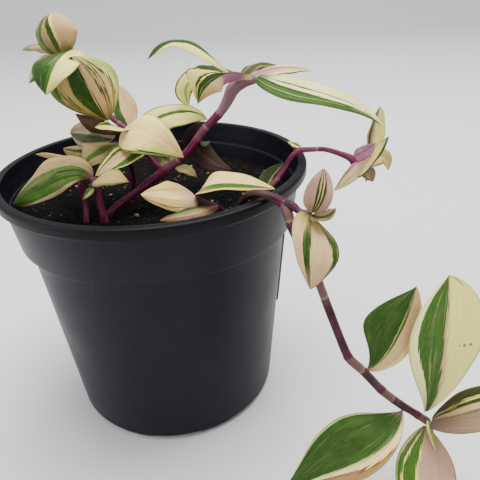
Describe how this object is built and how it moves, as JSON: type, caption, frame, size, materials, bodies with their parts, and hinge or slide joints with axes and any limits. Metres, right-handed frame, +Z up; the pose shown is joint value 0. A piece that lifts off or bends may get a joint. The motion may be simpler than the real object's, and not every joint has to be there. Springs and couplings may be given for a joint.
{
  "type": "potted tradescantia",
  "caption": "Small tradescantia with striped cream, pink and green leaves, rooted in soil in a round black nursery pot, with shoots that arch and trail over the rim.",
  "frame": {"origin": "middle of the pot's flat base, on the surface it stands on", "axes": "+Z up along the pot's axis, +X to the side where two shoots trail over the rim, -Y to the front with the opened leaves"},
  "size_m": [0.1647, 0.1342, 0.1453],
  "materials": {
    "pot": "satin moulded black plastic with fine scuffs",
    "soil": "damp dark potting mix with tan grains",
    "stem": "satin magenta-purple plant skin, brownish pink sheaths at the nodes",
    "leaf_cream": "satin leaf, cream with green lengthwise stripes",
    "leaf_green": "satin leaf, green with light streaks and cream margins",
    "leaf_pink": "satin leaf, pale pink with green stripes",
    "leaf_olive": "satin leaf, olive with a pink blush",
    "leaf_mauve": "satin leaf underside, mauve to purple brown"
  },
  "bodies": {
    "root": {"pot": "pot", "soil": "soil", "stem_main": "stem", "stem_behind": "stem", "stem_left": "stem", "stem_centre_left": "stem", "stem_front": "stem", "stem_right": "stem", "stem_trailing": "stem", "leaf_top_hood": "leaf_cream", "leaf_top_inner": "leaf_green", "leaf_top_thin": "leaf_mauve", "leaf_top_front": "leaf_cream", "leaf_top_back": "leaf_pink", "leaf_upper_large": "leaf_cream", "leaf_upper_right": "leaf_cream", "leaf_upper_side": "leaf_green", "leaf_upper_brown": "leaf_mauve", "leaf_middle_large": "leaf_cream", "leaf_middle_back": "leaf_cream", "leaf_middle_left": "leaf_olive", "leaf_middle_front": "leaf_green", "leaf_back_pink": "leaf_pink", "leaf_back_olive": "leaf_olive", "leaf_left_large": "leaf_green", "leaf_left_small": "leaf_cream", "leaf_left_back": "leaf_cream", "leaf_left_bud": "leaf_green", "leaf_crown_arching": "leaf_cream", "leaf_crown_hanging": "leaf_cream", "leaf_crown_dark": "leaf_green", "leaf_crown_pale": "leaf_cream", "leaf_crown_olive": "leaf_olive", "leaf_crown_pink": "leaf_pink", "leaf_crown_right": "leaf_cream", "leaf_inner_brown": "leaf_mauve", "leaf_inner_olive": "leaf_olive", "leaf_inner_crescent": "leaf_olive", "leaf_front_left": "leaf_cream", "leaf_front_right": "leaf_cream", "leaf_front_soil": "leaf_olive", "leaf_right_bud": "leaf_cream", "leaf_right_olive": "leaf_olive", "leaf_right_upright": "leaf_cream", "leaf_right_sheath": "leaf_mauve", "leaf_right_curved": "leaf_cream", "leaf_right_tan": "leaf_pink", "leaf_right_mauve": "leaf_mauve", "leaf_right_under": "leaf_pink", "leaf_side_upper": "leaf_pink", "leaf_side_folded": "leaf_olive", "leaf_side_lower": "leaf_pink", "leaf_low_left": "leaf_green", "leaf_low_upright": "leaf_cream", "leaf_low_right": "leaf_cream", "leaf_low_broad": "leaf_green", "leaf_low_front": "leaf_green", "leaf_low_bud": "leaf_cream"}
  },
  "joints": []
}
